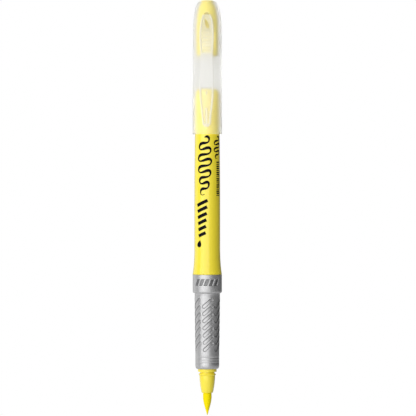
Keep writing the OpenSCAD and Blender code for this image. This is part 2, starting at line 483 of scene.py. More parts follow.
@dataclass(frozen=True)
class MouldedPlastic:
    """Coloured plastic with a fine moulded grain and a soft gloss."""

    name: str
    colour: Colour
    shade: Colour
    roughness: float
    coat: float = 0.0
    coat_roughness: float = 0.14
    cloud: float = 160.0
    grain: float = 2600.0
    relief: float = 0.00001

    def build(self) -> bpy.types.Material:
        """Make the material."""
        graph = Graph(self.name)
        cloud = graph.noise(self.cloud, (1, 1, 0.4))
        fine = graph.noise(self.grain, detail=2.0)
        graph.feed(graph.blend(cloud, self.colour, self.shade), "Base Color")
        graph.feed(graph.spread(fine, self.roughness - 0.04, self.roughness + 0.05), "Roughness")
        graph.emboss(fine, self.relief, 0.5)
        graph.set(IOR=PLASTIC_IOR, Coat_Weight=self.coat, Coat_Roughness=self.coat_roughness)
        return graph.material


@dataclass(frozen=True)
class SilverPlastic:
    """Soft plastic with a silver pigment, so that it gleams broadly and sparkles finely."""

    name: str
    colour: Colour = (0.63, 0.63, 0.635)
    shade: Colour = (0.57, 0.57, 0.575)
    # Near-black painted shade, mixed in along the slots' edges and in the collar's sunk bars.
    sunk: Colour = (0.09, 0.09, 0.095)
    roughness: float = 0.45
    metallic: float = 0.88
    flakes: float = 5200.0
    cloud: float = 420.0
    relief: float = 0.000004

    def build(self) -> bpy.types.Material:
        """Make the material."""
        graph = Graph(self.name)
        flakes = graph.add("ShaderNodeTexVoronoi")
        flakes.inputs["Scale"].default_value = self.flakes
        graph.join(graph.coords, flakes.inputs["Vector"])
        flake = flakes.outputs["Distance"]
        cloud = graph.noise(self.cloud)
        # Base colour with painted shade where the mesh's shade attribute marks slot edges and bars.
        graph.feed(graph.paint_shade(graph.blend(flake, self.shade, self.colour), self.sunk), "Base Color")
        graph.feed(graph.spread(cloud, self.roughness - 0.015, self.roughness + 0.02), "Roughness")
        graph.emboss(flake, self.relief, 0.3)
        graph.set(IOR=PLASTIC_IOR, Metallic=self.metallic)
        return graph.material


@dataclass(frozen=True)
class InkedFelt:
    """Bundled fibres that run along the pen, soaked with ink."""

    name: str
    colour: Colour = (0.97, 0.82, 0.004)
    shade: Colour = (0.90, 0.72, 0.002)
    fibres: float = 9000.0
    cloud: float = 500.0
    relief: float = 0.00003

    def build(self) -> bpy.types.Material:
        """Make the material."""
        graph = Graph(self.name)
        strands = graph.noise(self.fibres, (1, 1, 0.035), 4.0)
        cloud = graph.noise(self.cloud, (1, 1, 0.3))
        graph.feed(graph.blend(strands, self.shade, self.colour), "Base Color")
        graph.feed(graph.spread(cloud, 0.62, 0.8), "Roughness")
        graph.emboss(strands, self.relief, 0.7)
        graph.set(Specular_IOR_Level=0.08)
        return graph.material


@dataclass(frozen=True)
class FrostedPlastic:
    """Clear plastic with a frosted skin that veils what is behind it.

    With a veil above 0, the mesh also marks where the skin is denser, and where painted shade darkens it.
    """

    name: str
    colour: Colour = (0.865, 0.865, 0.85)
    shade: Colour = (0.835, 0.835, 0.82)
    clearness: float = 0.885
    veil: float = 0.0
    # Gold-olive painted shade for the shadow arc under the clip's head rim and for the sunk leaf.
    sunk: Colour = (0.56, 0.47, 0.09)
    roughness: float = 0.53
    bending: float = 1.16
    cloud: float = 240.0
    frost: float = 3800.0
    relief: float = 0.000008

    def build(self) -> bpy.types.Material:
        """Make the material."""
        graph = Graph(self.name)
        cloud = graph.noise(self.cloud, (1, 1, 0.25))
        frost = graph.noise(self.frost, detail=2.0)
        skin = graph.blend(cloud, self.colour, self.shade)
        graph.feed(graph.paint_shade(skin, self.sunk) if self.veil else skin, "Base Color")
        graph.feed(graph.spread(frost, self.roughness - 0.05, self.roughness + 0.06), "Roughness")
        graph.emboss(frost, self.relief, 0.35)
        graph.set(Transmission_Weight=self.clearness, IOR=self.bending)
        if self.veil:
            dense = graph.add("ShaderNodeAttribute", attribute_name=VEIL)
            clear = graph.add("ShaderNodeMapRange")
            clear.inputs["To Min"].default_value = self.clearness
            clear.inputs["To Max"].default_value = self.clearness - self.veil
            graph.join(dense.outputs["Fac"], clear.inputs["Value"])
            graph.feed(clear.outputs["Result"], "Transmission Weight")
        return graph.material


@dataclass(frozen=True)
class ClearFilm:
    """Thin clear wrapping with faint flow streaks."""

    name: str
    colour: Colour = (0.95, 0.96, 0.94)
    shade: Colour = (0.90, 0.92, 0.88)
    streaks: float = 900.0

    def build(self) -> bpy.types.Material:
        """Make the material."""
        graph = Graph(self.name)
        streaks = graph.noise(self.streaks, (1, 1, 0.08))
        graph.feed(graph.blend(streaks, self.shade, self.colour), "Base Color")
        graph.feed(graph.spread(streaks, 0.18, 0.26), "Roughness")
        graph.set(Transmission_Weight=0.9, IOR=1.3)
        return graph.material


@dataclass(frozen=True)
class PrintInk:
    """Dark printing ink, a little uneven in gloss."""

    name: str
    colour: Colour = (0.0008, 0.0008, 0.004)
    shade: Colour = (0.002, 0.002, 0.008)
    patches: float = 2200.0

    def build(self) -> bpy.types.Material:
        """Make the material."""
        graph = Graph(self.name)
        patches = graph.noise(self.patches)
        graph.feed(graph.blend(patches, self.colour, self.shade), "Base Color")
        graph.feed(graph.spread(patches, 0.45, 0.6), "Roughness")
        graph.set(Specular_IOR_Level=0.1)
        return graph.material


@dataclass(frozen=True)
class StudioCard:
    """Matt card for the studio's boards."""

    name: str
    colour: Colour = (0.86, 0.86, 0.86)
    shade: Colour = (0.83, 0.83, 0.83)
    fibre: float = 40.0

    def build(self) -> bpy.types.Material:
        """Make the material."""
        graph = Graph(self.name)
        fibre = graph.noise(self.fibre)
        graph.feed(graph.blend(fibre, self.colour, self.shade), "Base Color")
        graph.set(Roughness=0.9, Specular_IOR_Level=0.2)
        return graph.material


@dataclass(frozen=True)
class Palette:
    """The finishes of the whole pen, made once."""

    body: bpy.types.Material
    seal: bpy.types.Material
    felt: bpy.types.Material
    rod: bpy.types.Material
    film: bpy.types.Material
    holder: bpy.types.Material
    silver: bpy.types.Material
    frosted: bpy.types.Material
    rimmed: bpy.types.Material
    ink: bpy.types.Material
    card: bpy.types.Material
    black: bpy.types.Material

    @classmethod
    def mix(cls) -> "Palette":
        """Build every finish."""
        yellow = MouldedPlastic("yellow_plastic", (0.96, 0.80, 0.046), (0.935, 0.775, 0.038), 0.32, coat=0.75)
        rimmed = FrostedPlastic("clip_plastic", (0.87, 0.865, 0.835), (0.84, 0.83, 0.80), 0.93, veil=0.6)
        return cls(
            body=yellow.build(),
            seal=MouldedPlastic("seal_plastic", (0.88, 0.745, 0.035), (0.84, 0.70, 0.028), 0.42).build(),
            felt=InkedFelt("brush_felt").build(),
            rod=InkedFelt("ink_rod", (0.80, 0.68, 0.10), (0.70, 0.58, 0.06), 5200.0).build(),
            film=ClearFilm("rod_film").build(),
            holder=MouldedPlastic("holder_plastic", (0.78, 0.78, 0.74), (0.74, 0.74, 0.69), 0.5).build(),
            silver=SilverPlastic("silver_plastic").build(),
            frosted=FrostedPlastic("frosted_plastic").build(),
            rimmed=rimmed.build(),
            ink=PrintInk("print_ink").build(),
            card=StudioCard("studio_card").build(),
            black=StudioCard("black_card", (0.01, 0.01, 0.01), (0.008, 0.008, 0.008)).build(),
        )


@dataclass
class Section:
    """A sub-assembly that knows its own sizes and makes its own pieces."""

    finishes: Palette

    def build(self) -> None:
        """Make the pieces."""
        raise NotImplementedError


# ---------------------------------------------------------------- the pen


@dataclass
class BrushNib(Section):
    """The pointed felt brush and the stem behind it, made as one piece."""

    point_radius: float = 0.12
    belly_radius: float = 1.74
    belly_height: float = 7.6
    heel_radius: float = 1.6
    heel: tuple[float, float] = (0.5, 3.0)
    stem_radius: float = 1.25
    groove_depth: float = 0.024
    grooves: int = 30
    groove_end: float = 2.0
    bend_start: float = 0.2
    bend_end: float = 6.2
    rows: int = 44

    def radius_at(self, height: float) -> float:
        """Give the brush's radius at a height above its point."""
        rise = math.sin(math.pi / 2 * (height / self.belly_height) ** 1.15)
        return self.point_radius + (self.belly_radius - self.point_radius) * rise

    def build(self) -> None:
        """Make the brush."""
        brush = Span.of("brush_tip")
        wick = Span.of("nib_wick")
        nose = Span.of("nib_housing")
        rings: list[Ring] = [(0.0, brush.low)]
        for row in range(self.rows + 1):
            height = (nose.low - brush.low) * row / self.rows
            rings.append((self.radius_at(height), brush.low + height))
        first, last = (nose.low + height for height in self.heel)
        rings += [(self.heel_radius, first), (self.heel_radius, last, 0.2), (self.stem_radius, last)]
        rings += [(self.stem_radius, wick.high, 0.15), (0.0, wick.high)]
        bm = turn(rings, steps=240, closed=False)

        def fibre(vert: bmesh.types.BMVert, azimuth: float, radius: float) -> float:
            """Give the depth of the grooves between bundles of fibre."""
            height = vert.co.z
            wander = 0.35 * math.sin(height * 0.9 + 2.0 * math.sin(azimuth))
            coarse = abs(math.sin(azimuth * self.grooves / 2 + wander))
            fine = abs(math.sin(azimuth * self.grooves * 1.1 + 1.7 * wander + 0.6))
            fade = smooth((nose.low + self.groove_end - height) / self.groove_end)
            fade *= smooth(radius / self.belly_radius)
            return -self.groove_depth * fade * (0.65 * (1 - coarse) + 0.35 * (1 - fine))

        push(bm, fibre)
        piece = publish(bm, "brush", self.finishes.felt, None, ("brush_tip", "nib_wick"))
        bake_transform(piece)


@dataclass
class FrontSection(Section):
    """The nose with its bead and flange, and the tube that holds the ink behind it."""

    mouth_radius: float = 2.25
    throat_radius: float = 1.95
    nose_length: float = 6.9
    nose_radius: float = 3.1
    bead_radius: float = 3.38
    bead: tuple[float, float] = (0.22, 0.62)
    neck_radius: float = 2.9
    neck_start: float = 0.95
    flange_radius: float = 3.72
    flange: tuple[float, float] = (-1.2, 0.3)
    tube_radius: float = 3.95
    spigot_radius: float = 4.08
    spigot_lead: tuple[float, float] = (3.7, 0.6)
    bore_radius: float = 3.08
    seat_radius: float = 2.19
    seat: tuple[float, float] = (0.4, 1.4)
    rows: int = 16

    def build(self) -> None:
        """Make the front section."""
        housing = Span.of("nib_housing")
        sleeve = Span.of("grip_sleeve")
        holder = Span.of("nib_holder")
        low, top = housing.low, housing.low + self.nose_length
        rings: list[Ring] = [(self.mouth_radius, low, 0.12)]
        for row in range(1, self.rows + 1):
            share = row / self.rows
            swell = 1 - (1 - share) ** 1.8
            radius = self.mouth_radius + (self.nose_radius - self.mouth_radius) * swell
            rings.append((radius, low + share * (top - low)))
        rings += [(self.bead_radius, top + height, 0.1) for height in self.bead]
        under, over = (sleeve.low + height for height in self.flange)
        rings += [(self.neck_radius, top + self.neck_start), (self.neck_radius, under)]
        rings += [(self.flange_radius, under, 0.12), (self.flange_radius, over)]
        rings += [(self.tube_radius, over + 0.1), (self.tube_radius, sleeve.high)]
        lead_radius, lead = self.spigot_lead
        rings += [(self.spigot_radius, sleeve.high), (self.spigot_radius, housing.high - lead)]
        rings += [(lead_radius, housing.high, 0.1), (self.bore_radius, housing.high)]
        floor = holder.low - 0.05
        seat, shoulder = (holder.high + height for height in self.seat)
        rings += [(self.bore_radius, shoulder), (self.seat_radius, seat)]
        rings += [(self.seat_radius, floor), (self.throat_radius, floor), (self.throat_radius, low, 0.08)]
        bm = turn(rings)
        publish(bm, "front_section", self.finishes.body, Body.PEN, ("nib_housing",))


@dataclass
class GripSleeve(Section):
    """The silver sleeve: slanted slots, fine rings, and a collar with sunk bars, with painted shade along the
    slots' edges and in the bars.
    """

    low_radius: float = 4.76
    high_radius: float = 5.05
    collar_radius: float = 5.83
    shoulder: tuple[tuple[float, float], ...] = ((-0.5, 0.0), (-0.16, 0.16), (-0.03, 0.46), (0.0, 0.8))
    bore: float = 3.98
    taper_start: float = 8.0
    step: float = 30.3
    ring_heights: tuple[float, ...] = (2.5, 3.5, 4.5)
    ring_depth: float = 0.045
    ring_profile: tuple[tuple[float, float], ...] = ((-0.17, 0), (-0.05, 1), (0.05, 1), (0.17, 0))
    slot_zone: tuple[float, float] = (5.6, 28.9)
    slot_soft: float = 0.24
    slot_rows: int = 7
    slot_columns: int = 6
    slot_top: float = 26.25
    slot_pitch: float = 2.87
    slot_run: float = 4.1
    slot_width: float = 1.3
    slot_slope: float = 40.0
    slot_depth: float = 0.36
    slot_azimuth: float = 3.4
    slot_lean: float = 0.6
    # Painted shade along each slot's edge: its darkness and its width.
    crease: float = 0.5
    crease_width: float = 0.17
    lip: float = 0.06
    lip_width: float = 0.15
    bar_width: float = 1.4
    bar_height: float = 2.5
    bar_shear: float = 0.4
    bar_depth: float = 0.25
    bar_soft: float = 0.22
    bar_rise: float = 0.6
    bar_zone: float = 1.65
    # Painted shade that darkens the sunk bars.
    bar_shadow: float = 0.68
    bars: tuple[float, ...] = (-42.0, -21.0, 0.0, 21.0, 42.0)
    slot_lines: int = 200
    bar_lines: int = 30

    def slots(self, azimuth: float, height: float) -> tuple[float, float]:
        """Give the depth of the slanted slots and the painted shade along their edges.

        Args:
            azimuth: Angle from the clip's side, in radians.
            height: Height above the sleeve's lower end.

        Returns:
            How far the wall moves outwards, negative in a slot, and how dark the painted shade along the
            slot's edge is there.
        """
        nearest = round((self.slot_top - height) / self.slot_pitch)
        slope = math.radians(self.slot_slope)
        depth = shadow = 0.0
        for row in (nearest - 1, nearest, nearest + 1):
            if not 0 <= row < self.slot_rows:
                continue
            step = math.tau / self.slot_columns
            first = math.radians(self.slot_azimuth + self.slot_lean * row)
            offset = (azimuth - first + step / 2) % step - step / 2
            x = offset * self.high_radius
            z = height - (self.slot_top - self.slot_pitch * row)
            along = x * math.cos(slope) + z * math.sin(slope)
            across = -x * math.sin(slope) + z * math.cos(slope)
            edge = stadium(along, across, self.slot_run, self.slot_width)
            share = along / self.slot_run
            floor = smooth(0.5 - edge / self.slot_soft) * (0.8 + 0.45 * share)
            lip = bell((edge - self.slot_soft) / self.lip_width) * smooth(2.5 * share - 0.4)
            depth += self.lip * lip - self.slot_depth * floor
            # Painted shade in a thin line along the slot's edge, where the crease would lie in shadow.
            shadow = max(shadow, self.crease * bell((edge + 0.02) / self.crease_width))
        return depth, shadow

    def marks(self, azimuth: float, height: float) -> tuple[float, float]:
        """Give the depth of the slanted bars on the collar and the painted shade inside them.

        Args:
            azimuth: Angle from the clip's side, in radians.
            height: Height above the middle of the bars.

        Returns:
            How far the wall moves outwards, negative in a bar, and how dark the painted shade in the bar is
            there.
        """
        depth = shadow = 0.0
        for centre in self.bars:
            x = (azimuth - math.radians(centre)) * self.collar_radius
            edge = sheared_box(x, height, self.bar_width, self.bar_height, self.bar_shear)
            inside = smooth(0.5 - edge / self.bar_soft)
            depth -= self.bar_depth * inside
            # Painted shade fills the sunk bar.
            shadow = max(shadow, self.bar_shadow * inside)
        return depth, shadow

    def build(self) -> None:
        """Make the sleeve."""
        sleeve = Span.of("grip_sleeve")
        low, step, high = sleeve.low, sleeve.low + self.step, sleeve.high
        taper = low + self.taper_start

        def wall(height: float) -> float:
            """Give the plain sleeve's radius at a height."""
            share = max(0.0, (height - taper) / (step - taper))
            return self.low_radius + (self.high_radius - self.low_radius) * share

        rings: list[Ring] = [(self.bore, low + 0.4), (self.bore + 0.12, low, 0.05)]
        rings += reversed(quarter((self.low_radius, low + 1.5), (self.bore + 0.2, low), 10))
        for centre in self.ring_heights:
            for rise, dip in self.ring_profile:
                rings.append((self.low_radius - self.ring_depth * dip, low + centre + rise))
        first, last = (low + height for height in self.slot_zone)
        for z in levels(first, last, self.slot_lines):
            rings.append((wall(z), z))
        rings += [(self.high_radius - 0.005, step - 0.35), (self.high_radius + 0.05, step - 0.08)]
        rings += [(self.collar_radius + inset, step + rise) for inset, rise in self.shoulder]
        middle = (step + high) / 2 + self.bar_rise
        for z in levels(middle - self.bar_zone, middle + self.bar_zone, self.bar_lines):
            rings.append((self.collar_radius, z))
        rings += [(self.collar_radius, high - 0.14), (self.collar_radius - 0.14, high)]
        rings += [(self.bore, high)]
        bm = turn(rings, steps=320)
        # Layer of painted shade for the slots' edges and the sunk bars.
        shade = bm.verts.layers.float.new(SHADOW)

        def sink(vert: bmesh.types.BMVert, azimuth: float, radius: float) -> float:
            """Give the relief of the outer wall, and note its painted shade."""
            depth = 0.0
            if first < vert.co.z < last and radius > self.bore + 0.2:
                depth, vert[shade] = self.slots(azimuth, vert.co.z - low)
            elif abs(vert.co.z - middle) <= self.bar_zone + NEAR and radius > self.high_radius + 0.3:
                depth, vert[shade] = self.marks(azimuth, vert.co.z - middle)
            return depth

        push(bm, sink)
        publish(bm, "grip", self.finishes.silver, Body.PEN, ("grip_sleeve",))


@dataclass
class Barrel(Section):
    """The plain yellow barrel, flared to meet the collar and stepped down at the tail."""

    radius: float = 5.12
    flare_radius: float = 5.85
    flare_length: float = 11.8
    flare_power: float = 2.6
    bore: float = 4.1
    taper_start: float = 35.8
    neck: tuple[float, float] = (4.96, 53.8)
    tail_radius: float = 4.9
    tail_steps: tuple[Ring, ...] = ((0.0, 3.0, 0.5), (-0.1, 1.2, 0.4), (-0.28, 0.0, 0.15))
    rows: int = 24

    def wall(self, height: float) -> float:
        """Give the barrel's radius at a height above its mouth, from the flare to the neck."""
        if height < self.flare_length:
            share = (1 - height / self.flare_length) ** self.flare_power
            return self.radius + (self.flare_radius - self.radius) * share
        share = max(0.0, (height - self.taper_start) / (self.neck[1] - self.taper_start))
        return self.radius + (self.neck[0] - self.radius) * share

    def build(self) -> None:
        """Make the barrel."""
        barrel = Span.of("barrel")
        mouth = Span.of("cap_shell").low
        low, high = barrel.low, barrel.high
        rings: list[Ring] = [(self.bore, low), (self.flare_radius - 0.1, low), (self.flare_radius, low + 0.1)]
        for height in levels(0.0, self.flare_length, self.rows)[1:]:
            rings.append((self.wall(height), low + height))
        rings += [(self.radius, low + self.taper_start, 2.0), (self.neck[0], low + self.neck[1])]
        rings += [(self.tail_radius, mouth - 0.6)]
        rings += [(self.tail_radius + step, high - drop, soft) for step, drop, soft in self.tail_steps]
        rings += [(self.bore, high)]
        publish(turn(rings), "barrel_tube", self.finishes.body, Body.PEN, ("barrel",))


@dataclass
class BarrelPrint(Section):
    """Made-up printed marks on the barrel: two brush squiggles, slanted bars, a drop and dashes.

    The marks are drawn flat, x along the barrel's girth and z along its length, then wrapped.
    """

    barrel: Barrel
    film: float = 0.03
    strip: float = 0.35
    squiggle: tuple[float, float] = (88.2, 110.9)
    squiggle_centre: float = -0.95
    squiggle_reach: float = 2.75
    squiggle_waves: float = 5.0
    small_squiggle: tuple[float, float] = (102.6, 111.0)
    small_centre: float = 4.7
    small_reach: float = 1.7
    small_waves: float = 3.0
    bars: tuple[float, float] = (71.0, 86.0)
    bars_centre: float = -2.0
    bars_reach: float = 2.3
    bars_slope: float = 0.45
    bar_count: int = 6
    bar_width: float = 1.3
    drop: tuple[float, float] = (-3.6, 68.3)
    dashes: tuple[float, float] = (87.4, 101.4)
    dashes_centre: float = 5.2
    dash_count: int = 17
    dash_width: float = 1.9

    def ribbon(
        self,
        bm: bmesh.types.BMesh,
        path: Callable[[float], tuple[float, float]],
        width: Callable[[float], float],
        steps: int,
    ) -> None:
        """Draw one flat stroke by pulling a short edge along a path.

        Args:
            bm: The sheet of strokes, flat in X and Z.
            path: Gives the stroke's middle, from 0 to 1 along it.
            width: Gives the stroke's width, from 0 to 1 along it.
            steps: How many segments the stroke has.
        """
        edge = bm.edges.new((bm.verts.new(), bm.verts.new()))
        for step in range(steps + 1):
            share = step / steps
            here = Vector(path(share))
            ahead, behind = Vector(path(min(1.0, share + 0.004))), Vector(path(max(0.0, share - 0.004)))
            run = (ahead - behind).normalized()
            side = Vector((-run.y, run.x)) * max(width(share), 0.03) / 2
            if step:
                grown = bmesh.ops.extrude_edge_only(bm, edges=[edge])["geom"]
                edge = next(item for item in grown if isinstance(item, bmesh.types.BMEdge))
            for vert, sign in zip(edge.verts, (1, -1)):
                spot = here + side * sign
                vert.co = (spot.x, 0.0, spot.y)
            if step:
                self.untwist(edge)

    @staticmethod
    def untwist(edge: bmesh.types.BMEdge) -> None:
        """Swap the ends of a new edge if the face behind it is crossed."""
        one, two = edge.verts
        face = edge.link_faces[0]
        back = [item for item in face.edges if one not in item.verts and two not in item.verts][0]
        partner = next(item.other_vert(one) for item in one.link_edges if item.other_vert(one) in back.verts)
        other = back.other_vert(partner)
        straight = (partner.co - one.co).length + (other.co - two.co).length
        crossed = (partner.co - two.co).length + (other.co - one.co).length
        if straight > crossed:
            one.co, two.co = two.co.copy(), one.co.copy()

    def squiggles(
        self,
        bm: bmesh.types.BMesh,
        ends: tuple[float, float],
        centre: float,
        reach: float,
        waves: float,
    ) -> None:
        """Draw a brush stroke that swings from side to side.

        Args:
            bm: The sheet of strokes.
            ends: Heights of its lower and upper end.
            centre: Where its middle line is.
            reach: How far it swings to each side.
            waves: How many times it swings there and back.
        """
        low, high = ends

        def wave(share: float) -> tuple[float, float]:
            """Follow the stroke from its upper end."""
            angle = math.tau * waves * share
            swing = reach * (0.6 + 0.4 * math.sin(math.pi * min(1.0, share * 1.15))) * math.sin(angle)
            lean = 0.22 * swing
            return centre + swing, high - (high - low) * share + lean + 0.2 * reach * math.sin(2 * angle)

        def pressure(share: float) -> float:
            """Give the stroke's width, as a pressed and lifted brush leaves it."""
            angle = math.tau * waves * share
            lift = min(1.0, share * 30 + 0.3) * min(1.0, (1 - share) * 10 + 0.2)
            return (0.1 + reach) * (0.2 + 0.22 * math.cos(angle - 0.5) ** 2) * lift

        self.ribbon(bm, wave, pressure, round(52 * waves))

    def line(self, bm: bmesh.types.BMesh, middle: Vector, reach: Vector, width: float, steps: int) -> None:
        """Draw a straight stroke.

        Args:
            bm: The sheet of strokes.
            middle: Where the stroke's middle is.
            reach: From its middle to its end.
            width: The stroke's width.
            steps: How many segments it has.
        """
        self.ribbon(bm, lambda share: middle + reach * (2 * share - 1), lambda share: width, steps)

    def strokes(self, bm: bmesh.types.BMesh) -> None:
        """Draw the bars, the drop and the dashes.

        Args:
            bm: The sheet of strokes.
        """
        low, high = self.bars
        pitch = (high - low) / self.bar_count
        for index in range(self.bar_count):
            middle = Vector((self.bars_centre, high - pitch * (index + 0.5)))
            reach = Vector((1.0, self.bars_slope)) * self.bars_reach * (1 - 0.07 * index)
            self.line(bm, middle, reach, self.bar_width, 8)
        x, z = self.drop
        self.ribbon(
            bm,
            lambda share: (x + 0.8 * share, z - 1.2 + 2.8 * share),
            lambda share: 2.0 * math.sin(math.pi * share**0.6) ** 0.8,
            24,
        )
        low, high = self.dashes
        pitch = (high - low) / self.dash_count
        for index in range(self.dash_count):
            middle = Vector((self.dashes_centre, low + pitch * (index + 0.5)))
            reach = Vector((0.0, pitch * (0.34 if index % 3 else 0.22)))
            self.line(bm, middle, reach, self.dash_width, 2)

    def wrap(self, bm: bmesh.types.BMesh, mouth: float) -> None:
        """Slice the flat strokes into narrow strips, thicken them and bend them onto the barrel.

        Args:
            bm: The sheet of strokes, flat in X and Z.
            mouth: Height of the barrel's mouth.
        """
        bmesh.ops.remove_doubles(bm, verts=bm.verts[:], dist=WELD)
        count = math.ceil(self.barrel.radius * math.pi / 2 / self.strip)
        for index in range(-count, count + 1):
            geometry = bm.faces[:] + bm.verts[:] + bm.edges[:]
            spot = (index * self.strip, 0, 0)
            bmesh.ops.bisect_plane(bm, geom=geometry, dist=WELD, plane_co=spot, plane_no=(1, 0, 0))
        for face in bm.faces:
            if face.normal.y > 0:
                face.normal_flip()
        geometry = bm.faces[:] + bm.verts[:] + bm.edges[:]
        bmesh.ops.solidify(bm, geom=geometry, thickness=2 * self.film)
        for vert in bm.verts:
            wall = self.barrel.wall(vert.co.z - mouth)
            angle = vert.co.x / wall
            radius = wall + self.film - vert.co.y
            vert.co.x = radius * math.sin(angle)
            vert.co.y = -radius * math.cos(angle)
        bmesh.ops.recalc_face_normals(bm, faces=bm.faces[:])

    def build(self) -> None:
        """Make the printed marks."""
        bm = bmesh.new()
        self.squiggles(bm, self.squiggle, self.squiggle_centre, self.squiggle_reach, self.squiggle_waves)
        self.squiggles(bm, self.small_squiggle, self.small_centre, self.small_reach, self.small_waves)
        self.strokes(bm)
        self.wrap(bm, Span.of("barrel").low)
        publish(bm, "barrel_marks", self.finishes.ink, Body.PEN)


# ---------------------------------------------------------------- the cap


@dataclass
class CapShell(Section):
    """The frosted outer cap: a slightly tapered tube with a domed, open top."""

    mouth_radius: float = 5.86
    waist: tuple[float, float] = (5.75, 29.8)
    crown: tuple[float, float] = (5.72, 41.8)
    rim_radius: float = 2.9
    vent_radius: float = 2.72
    bore: float = 5.0
    mouth_bore: float = 5.16
    seal_height: float = 31.4
    rib_count: int = 6
    rib_radius: float = 4.94
    rib_half_angle: float = 3.6
    rib_start: float = 3.4

    def build(self) -> None:
        """Make the shell."""
        shell = Span.of("cap_shell")
        low, top = shell.low, shell.high
        crown = low + self.crown[1]
        rings: list[Ring] = [(self.mouth_radius - 0.1, low), (self.mouth_radius, low + 0.2)]
        rings += [(self.waist[0], low + self.waist[1])]
        rings += quarter((self.crown[0], crown), (self.rim_radius, top), 24)
        rings += [(self.vent_radius, top)]
        rings += reversed(quarter((self.bore, crown - 0.5), (self.vent_radius, top - 0.7), 24))
        rings += [(self.bore + 0.03, low + self.seal_height), (self.mouth_bore - 0.03, low + 4.0)]
        rings += [(self.mouth_bore - 0.03, low + 3.0)]
        rings += [(self.mouth_bore, low + 0.5), (self.mouth_bore + 0.12, low)]
        bm = turn(rings, steps=200)

        def wall(vert: bmesh.types.BMVert, azimuth: float, radius: float) -> float:
            """Give how far the inner wall stands in at a rib."""
            ribbed = low + self.rib_start < vert.co.z < low + self.seal_height + 0.1
            if not ribbed or radius > self.mouth_bore + 0.05:
                return 0.0
            return (self.rib_radius - radius) * rib(azimuth, self.rib_count, self.rib_half_angle)

        push(bm, wall)
        frosted = self.finishes.frosted
        publish(bm, "cap_tube", frosted, Body.CAP, ("cap_shell",), shades=False)


@dataclass
class SealCup(Section):
    """The yellow cup inside the cap that closes on the nose."""

    radius: float = 4.3
    seal_radius: float = 3.36
    seal: tuple[float, float] = (1.2, 3.4)
    neck_radius: float = 2.55
    lip: float = 0.25
    floor: float = 1.3
    dome: float = 12.4
    fin_count: int = 4
    fin_reach: float = 4.92
    fin_half_angle: float = 3.2
    fins: tuple[float, float] = (2.4, 9.2)
    wall_rows: tuple[float, ...] = (2.2, 2.5, 9.1)
    wall_end: float = 9.4

    def build(self) -> None:
        """Make the cup."""
        cup = Span.of("inner_cap")
        low, top = cup.low, cup.high
        rings: list[Ring] = [(self.seal_radius + self.lip, low), (self.seal_radius + 0.45, low, 0.06)]
        rings += [(self.radius, low + 0.5, 0.2)]
        rings += [(self.radius, low + height) for height in self.wall_rows]
        rings += quarter((self.radius, low + self.wall_end), (self.neck_radius, top - 1.4), 18)
        rings += [(self.neck_radius, top - 0.15, 0.06), (self.neck_radius - 0.15, top, 0.06), (0.0, top)]
        outer = turn(rings, closed=False)
        rings = [(0.0, top - self.floor)]
        rings += reversed(quarter((self.seal_radius + 0.15, low + self.dome), (1.4, top - self.floor), 18))
        rings += [(self.seal_radius, low + height) for height in reversed(self.seal)]
        rings += [(self.seal_radius + self.lip, low)]
        inner = turn(rings, closed=False)
        scrap = bpy.data.meshes.new("cup_inside")
        inner.to_mesh(scrap)
        inner.free()
        outer.from_mesh(scrap)
        bpy.data.meshes.remove(scrap)
        bmesh.ops.remove_doubles(outer, verts=outer.verts[:], dist=NEAR)
        bmesh.ops.recalc_face_normals(outer, faces=outer.faces[:])

        def wall(vert: bmesh.types.BMVert, azimuth: float, radius: float) -> float:
            """Give how far the outer wall stands out at a centring fin."""
            first, last = self.fins
            if not first < vert.co.z - low < last or radius < self.radius - 0.05:
                return 0.0
            return (self.fin_reach - radius) * rib(azimuth, self.fin_count, self.fin_half_angle)

        push(outer, wall)
        publish(outer, "seal_cup", self.finishes.seal, Body.SEAL, ("inner_cap",))


